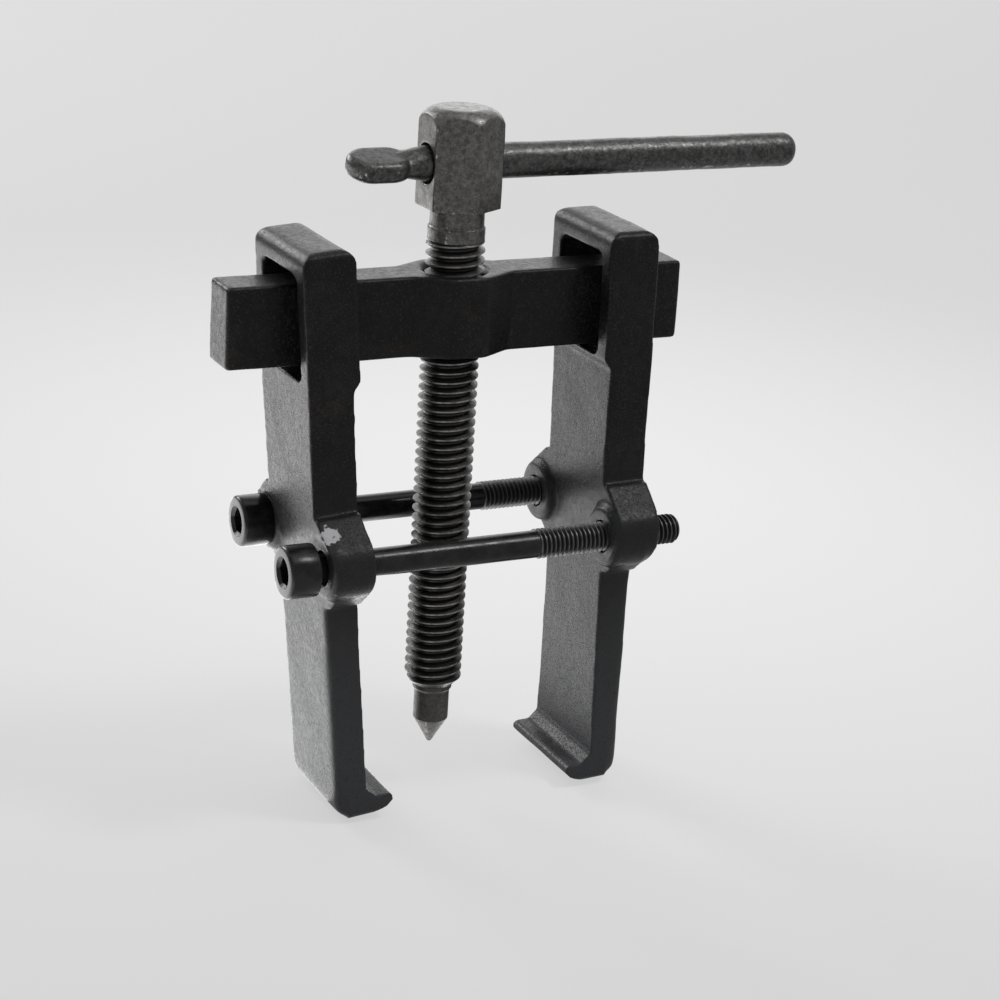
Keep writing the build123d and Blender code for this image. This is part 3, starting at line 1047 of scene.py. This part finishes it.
@dataclass
class CentrePoint:
    """The stepped cone under the screw."""

    body: str = "point"
    node: str = "centre_point"
    tip_radius: float = 0.35 * MM
    body_radius: float = 2.95 * MM
    cone_length: float = 4.6 * MM
    body_length: float = 6.3 * MM
    collar_radius: float = 3.3 * MM
    collar_length: float = 0.7 * MM
    spigot_radius: float = 2.0 * MM
    tip_round: float = 0.25 * MM
    shoulder_round: float = 0.5 * MM
    collar_fillet: float = 0.6 * MM
    collar_round: float = 0.15 * MM
    collar_rim: float = 0.1 * MM

    def build(self, finish: bpy.types.Material) -> bpy.types.Object:
        """Turns the point from its profile.

        Args:
            finish: The steel.

        Returns:
            The new object.
        """
        low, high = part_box(self.node)
        shoulder = low.z + self.cone_length
        top = shoulder + self.body_length
        step = self.collar_radius - self.body_radius
        profile = [
            (0, low.z),
            (self.tip_radius, low.z),
            (self.body_radius, shoulder),
            (self.body_radius, top - self.collar_length - step),
            (self.collar_radius, top - self.collar_length),
            (self.collar_radius, top),
            (self.spigot_radius, top),
            (self.spigot_radius, high.z),
            (0, high.z),
        ]
        rounds = (self.tip_round, self.shoulder_round, self.collar_fillet, self.collar_round, self.collar_rim)
        mesh = Shop.turned(Shop.rounded(profile, dict(enumerate(rounds, start=1))))
        piece = Shop.finish("centre_point_cone", mesh, finish, TURNED_ANGLE)
        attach(piece, self.body)
        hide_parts(self.node)
        return piece


@dataclass
class TommyBar:
    """The sliding handle, with its flattened end."""

    body: str = "handle"
    node: str = "tommy_bar"
    voxel: float = 0.2 * MM
    passes: int = 4
    dent_size: float = 5.0 * MM
    dent_depth: float = 0.16 * MM
    seed: float = 11.0
    fine_dent_size: float = 1.6 * MM
    fine_dent_depth: float = 0.06 * MM
    fine_seed: float = 17.0

    def build(self, finish: bpy.types.Material) -> bpy.types.Object:
        """Makes the handle out of its softened solid.

        Args:
            finish: The steel.

        Returns:
            The new object.
        """
        mesh = Shop.soften("handle", Shop.copy_node(self.node), self.voxel, self.passes)
        Shop.hammer(mesh, self.dent_size, self.dent_depth, self.seed)
        Shop.hammer(mesh, self.fine_dent_size, self.fine_dent_depth, self.fine_seed)
        piece = Shop.finish("tommy_bar_rod", mesh, finish, FORGED_ANGLE)
        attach(piece, self.body)
        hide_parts(self.node)
        return piece


@dataclass
class TieBolt:
    """A long cap screw: socket head, plain shank and rolled thread."""

    node: str
    body: str
    head_radius: float = 4.25 * MM
    head_length: float = 5.0 * MM
    rim_radius: float = 0.6 * MM
    rim_faces: int = 4
    inner_rim_radius: float = 0.18 * MM
    inner_rim_faces: int = 2
    socket_across_flats: float = 4.0 * MM
    socket_depth: float = 2.5 * MM
    mouth_radius: float = 2.6 * MM
    mouth_depth: float = 0.5 * MM
    shank_radius: float = 2.25 * MM
    shank_flare: float = 0.3 * MM
    shank_lap: float = 0.4 * MM
    crest_radius: float = 2.475 * MM
    pitch: float = 0.8 * MM
    thread_turns: int = 33
    end_chamfer: float = 0.6 * MM
    start_chamfer: float = 0.4 * MM
    head_faces: int = 48
    shank_faces: int = 64
    thread_faces: int = 36
    rim_slack: float = 0.01

    def head_mesh(self) -> bmesh.types.BMesh:
        """Makes the head along Z, with its outer face at height 0 and its bearing face above.

        Returns:
            The closed head, with its hexagon socket.
        """
        mesh = bmesh.new()
        socket_radius = self.socket_across_flats / math.sqrt(3)
        mouth = Matrix.Translation((0, 0, self.mouth_depth))
        bmesh.ops.create_circle(mesh, radius=socket_radius, segments=6, matrix=mouth)
        bmesh.ops.subdivide_edges(mesh, edges=mesh.edges[:], cuts=self.head_faces // 6 - 1)
        inner = mesh.edges[:]
        for radius in (self.mouth_radius, self.head_radius):
            before = set(mesh.edges)
            bmesh.ops.create_circle(mesh, radius=radius, segments=self.head_faces)
            outer = [edge for edge in mesh.edges if edge not in before]
            bmesh.ops.bridge_loops(mesh, edges=inner + outer)
            inner = outer
        less, more = 1 - self.rim_slack, 1 + self.rim_slack
        self.sink(mesh, 0, socket_radius * more, self.socket_depth - self.mouth_depth)
        self.sink(mesh, self.head_radius * less, self.head_radius * more, self.head_length)
        self.round_rim(mesh, 0.0, self.rim_radius, self.rim_faces)
        self.round_rim(mesh, self.head_length, self.inner_rim_radius, self.inner_rim_faces)
        return mesh

    @staticmethod
    def sink(mesh: bmesh.types.BMesh, inside: float, outside: float, depth: float) -> None:
        """Extrudes the open rim that lies between two radii along Z, and caps it.

        Args:
            mesh: The bmesh.
            inside: The smaller radius.
            outside: The larger radius.
            depth: How far the rim goes up.
        """
        rim = [edge for edge in mesh.edges
               if edge.is_boundary and inside < edge.verts[0].co.xy.length < outside]
        made = bmesh.ops.extrude_edge_only(mesh, edges=rim)["geom"]
        raised = [vert for vert in made if isinstance(vert, bmesh.types.BMVert)]
        bmesh.ops.translate(mesh, vec=(0, 0, depth), verts=raised)
        cap = [edge for edge in made if isinstance(edge, bmesh.types.BMEdge) and edge.is_boundary]
        bmesh.ops.contextual_create(mesh, geom=cap)

    def round_rim(self, mesh: bmesh.types.BMesh, height: float, radius: float, segments: int) -> None:
        """Rounds the head's outer edge at one height.

        Args:
            mesh: The bmesh.
            height: The edge's height.
            radius: The rounding's radius.
            segments: How many faces make the round.
        """
        reach = self.head_radius * (1 - self.rim_slack)
        rim = [edge for edge in mesh.edges
               if all(vert.co.xy.length > reach and abs(vert.co.z - height) < COPY_MERGE
                      for vert in edge.verts)]
        bmesh.ops.bevel(mesh, geom=rim, offset=radius, offset_type="OFFSET", affect="EDGES",
                        segments=segments, profile=0.5, material=-1)

    def build(self, finish: bpy.types.Material, thread_finish: bpy.types.Material) -> list[bpy.types.Object]:
        """Makes the head, the shank and the thread.

        Args:
            finish: The head's and the shank's material.
            thread_finish: The thread's material.

        Returns:
            The new objects.
        """
        low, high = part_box(self.node)
        middle = (low + high) / 2
        start = Vector((low.x, middle.y, middle.z))
        head = self.head_mesh()
        Shop.along_x(head, start)
        thread = HelicalThread(self.crest_radius, self.pitch, self.thread_turns, self.end_chamfer,
                               self.start_chamfer, self.thread_faces)
        end = high.x - low.x - self.head_length - thread.length + self.shank_lap
        profile = [
            (0, 0),
            (self.shank_radius + self.shank_flare, 0),
            (self.shank_radius, self.shank_flare),
            (self.shank_radius, end),
            (0, end),
        ]
        shank = Shop.turned(profile, self.shank_faces)
        Shop.along_x(shank, start + Vector((self.head_length, 0, 0)))
        screw = thread.mesh()
        Shop.along_x(screw, Vector((high.x - thread.length, middle.y, middle.z)))
        pieces = [
            Shop.finish(self.node + "_head", head, finish, TURNED_ANGLE),
            Shop.finish(self.node + "_shank", shank, finish, TURNED_ANGLE),
            Shop.finish(self.node + "_thread", screw, thread_finish, THREAD_ANGLE),
        ]
        thread.mark_height(pieces[2], middle, Axis.X)
        for piece in pieces:
            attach(piece, self.body)
            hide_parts(self.node)
        return pieces


# ---------------------------------------------------------------- studio


@dataclass
class Camera:
    """The view, given by its aim, its distance and its angles."""

    aim: Vector = field(default_factory=lambda: Vector((10.715, 0, 49.65)) * MM)
    distance: float = 416.7 * MM
    turn: float = math.radians(27.31)
    rise: float = math.radians(19.16)
    roll: float = math.radians(3.557)
    lens: float = 90.46
    sensor_width: float = 36.0
    near: float = 0.01
    far: float = 50.0

    def build(self) -> None:
        """Makes the scene's camera."""
        level_share = math.cos(self.rise)
        back = Vector((-math.sin(self.turn) * level_share, -math.cos(self.turn) * level_share,
                       math.sin(self.rise)))
        level = (-back).cross(Vector((0, 0, 1))).normalized()
        upright = level.cross(-back)
        right = level * math.cos(self.roll) + upright * math.sin(self.roll)
        up = upright * math.cos(self.roll) - level * math.sin(self.roll)
        data = bpy.data.cameras.new("camera")
        data.lens = self.lens
        data.sensor_width = self.sensor_width
        data.clip_start = self.near
        data.clip_end = self.far
        camera = bpy.data.objects.new("camera", data)
        turned = Matrix((right, up, back)).transposed().to_4x4()
        camera.matrix_world = Matrix.Translation(self.aim + back * self.distance) @ turned
        bpy.context.scene.collection.objects.link(camera)
        bpy.context.scene.camera = camera


@dataclass
class SoftBox:
    """A rectangular studio light that faces the tool, or lies on the table and faces up."""

    name: str
    place: Vector
    width: float
    height: float
    power: float
    aim: Vector = field(default_factory=lambda: Vector((0, 0, 50)) * MM)

    def build(self) -> None:
        """Makes the light."""
        data = bpy.data.lights.new(self.name, "AREA")
        data.shape = "RECTANGLE"
        data.size = self.width
        data.size_y = self.height
        data.energy = self.power
        lamp = bpy.data.objects.new(self.name, data)
        turned = (self.aim - self.place).to_track_quat("-Z", "Y").to_matrix().to_4x4()
        lamp.matrix_world = Matrix.Translation(self.place) @ turned
        lamp.visible_camera = False
        bpy.context.scene.collection.objects.link(lamp)


@dataclass
class Studio:
    """The pale paper, the pale surroundings and the soft lights."""

    floor_size: float = 12.0
    floor_drop: float = 0.4 * MM
    floor_shade: float = 0.7
    floor_rough: float = 0.9
    floor_mirror_level: float = 0.1
    paper_bright: float = 0.88
    paper_dim: float = 0.67
    paper_middle: Vector = field(default_factory=lambda: Vector((0.08, 0.14, 0)))
    paper_reach: float = 0.28
    shadow_share: float = 0.25
    world_shade: float = 0.30

    @staticmethod
    def sight(made: ShaderTree, share: float) -> Socket:
        """How far the pale surroundings stand in for the lit ones.

        Args:
            made: The tree of the paper or of the world.
            share: The part that camera rays and mirror rays get.

        Returns:
            The share for camera, mirror and glass rays, and 0 for others.
        """
        ray = made.node("LightPath")
        seen = made.math("MAXIMUM", ray.outputs["Is Camera Ray"], ray.outputs["Is Glossy Ray"])
        seen = made.math("MAXIMUM", seen, ray.outputs["Is Transmission Ray"])
        return made.math("MULTIPLY", seen, share)

    def paper(self) -> bpy.types.Material:
        """The paper, with a painted pool of light round the tool that darkens away from it, keeping a share
        of its shadow.

        Returns:
            The material.
        """
        made = FinishTree("studio_paper")
        made.surface((self.floor_shade,) * 3, self.floor_rough)
        made.shader.inputs["Specular IOR Level"].default_value = self.floor_mirror_level
        # Painted light: the paper's glow fades from bright near the tool to dim further off, a painted pool
        # of light.
        fade = made.ramp(made.distance(made.place, self.paper_middle), 0.0, self.paper_reach)
        glow = made.node("Emission")
        shade = made.mix_colour(fade, (self.paper_bright,) * 3, (self.paper_dim,) * 3)
        made.link(shade, glow.inputs["Color"])
        blend = made.node("MixShader")
        made.link(self.sight(made, 1 - self.shadow_share), blend.inputs[0])
        made.link(made.shader.outputs[0], blend.inputs[1])
        made.link(glow.outputs[0], blend.inputs[2])
        made.link(blend.outputs[0], made.tree.nodes["Material Output"].inputs["Surface"])
        return made.material

    def world(self) -> bpy.types.World:
        """The room: dim as a light, and as pale as the far paper when it is seen or mirrored.

        Returns:
            The world.
        """
        world = bpy.data.worlds.new("studio")
        world.use_nodes = True
        made = ShaderTree(world.node_tree)
        dim = world.node_tree.nodes["Background"]
        pale = made.node("Background")
        for background, shade in ((dim, self.world_shade), (pale, self.paper_dim)):
            background.inputs["Color"].default_value = (shade, shade, shade, 1)
        blend = made.node("MixShader")
        made.link(self.sight(made, 1.0), blend.inputs[0])
        made.link(dim.outputs[0], blend.inputs[1])
        made.link(pale.outputs[0], blend.inputs[2])
        made.link(blend.outputs[0], world.node_tree.nodes["World Output"].inputs["Surface"])
        return world

    @staticmethod
    def lamps() -> list[SoftBox]:
        """The lights: two low ones on the table, whose glow the sides mirror, and four that hang.

        Returns:
            The lights, not yet built.
        """
        table = Vector((-0.1575, 0.218, 0.001))
        table_edge = Vector((-0.14, -0.05, 0.001))
        upwards = Vector((0, 0, 1))
        return [
            SoftBox("table_glow", table, 0.345, 0.444, 1.25, table + upwards),
            SoftBox("back_right_box", Vector((0.5, 0.98, 0.47)), 1.0, 0.8, 3.5),
            SoftBox("back_left_box", Vector((-0.37, 0.99, 0.54)), 0.45, 0.5, 7.0),
            SoftBox("spark_box", Vector((0.32, -0.25, 0.68)), 0.15, 0.15, 2.0),
            SoftBox("table_edge_glow", table_edge, 0.18, 0.11, 0.11, table_edge + upwards),
            SoftBox("top_box", Vector((0.1, -0.05, 0.7)), 0.6, 0.5, 1.0),
        ]

    def build(self) -> None:
        """Makes the floor, the world and the lights."""
        mesh = bmesh.new()
        bmesh.ops.create_grid(mesh, x_segments=2, y_segments=2, size=self.floor_size / 2)
        bmesh.ops.translate(mesh, vec=(0, 0, -self.floor_drop), verts=mesh.verts)
        Shop.finish("studio_floor", mesh, self.paper(), FLOOR_ANGLE)
        bpy.context.scene.world = self.world()
        for lamp in self.lamps():
            lamp.build()
        bpy.context.scene.view_settings.view_transform = "Standard"


def main() -> None:
    """Builds the finishes, the pieces and the studio, in that order."""
    logging.basicConfig(level=logging.INFO, format="%(message)s")
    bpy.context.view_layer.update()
    effects = EffectLibrary()
    for effect in (effects.forged_grain, effects.edge_wear, effects.smudge, effects.speckle):
        log.info("effect %s", effect())
    paint = ForgedPaint().material()
    # A pale ragged patch on the left jaw's front eye.
    pale_patch_paint = ForgedPaint(name="pale_patch_black_paint", pale_patch=Vector((-25.4, -13.4, 52.3)) * MM).material()
    steel = DarkSteel().material()
    handle_steel = DarkSteel(name="handle_steel", dark=(0.022, 0.022, 0.022),
                             light=(0.11, 0.108, 0.105)).material()
    point_steel = DarkSteel(name="point_steel", dark=(0.026, 0.025, 0.022), light=(0.080, 0.076, 0.068),
                            bright=(0.16, 0.152, 0.14), metal=0.3, rough_low=0.45, rough_high=0.60).material()
    thread = ThreadSteel().material()
    oxide = BlackOxide().material()
    bolt_thread = ThreadSteel(name="bolt_thread", flank=(0.02, 0.02, 0.02), crest=(0.10, 0.10, 0.10),
                              metal=0.3).material()
    crossbar = Forging("crossbar", "crossbar", passes=4, dent_depth=0.14 * MM, seed=1.0)
    left_jaw = Jaw("left_arm", "left_jaw", passes=2, dent_depth=0.2 * MM, seed=2.0, outward=-1,
                   foot_face=-20.8 * MM, lean=-4.7)
    right_jaw = Jaw("right_arm", "right_jaw", passes=2, dent_depth=0.2 * MM, seed=9.0, outward=1,
                    foot_face=31.4 * MM, lean=-1.0)
    pieces = [
        crossbar.build(paint),
        left_jaw.build(pale_patch_paint),
        right_jaw.build(paint),
        *ForcingScrew().build(steel, thread),
        CentrePoint().build(point_steel),
        TommyBar().build(handle_steel),
        *TieBolt("front_tie_bolt", "front_bolt").build(oxide, bolt_thread),
        *TieBolt("rear_tie_bolt", "rear_bolt").build(oxide, bolt_thread),
    ]
    for piece in pieces:
        log.info("piece %s: %d faces", piece.name, len(piece.data.polygons))
    Studio().build()
    Camera().build()
    bpy.context.view_layer.update()


if __name__ == "__main__":
    main()
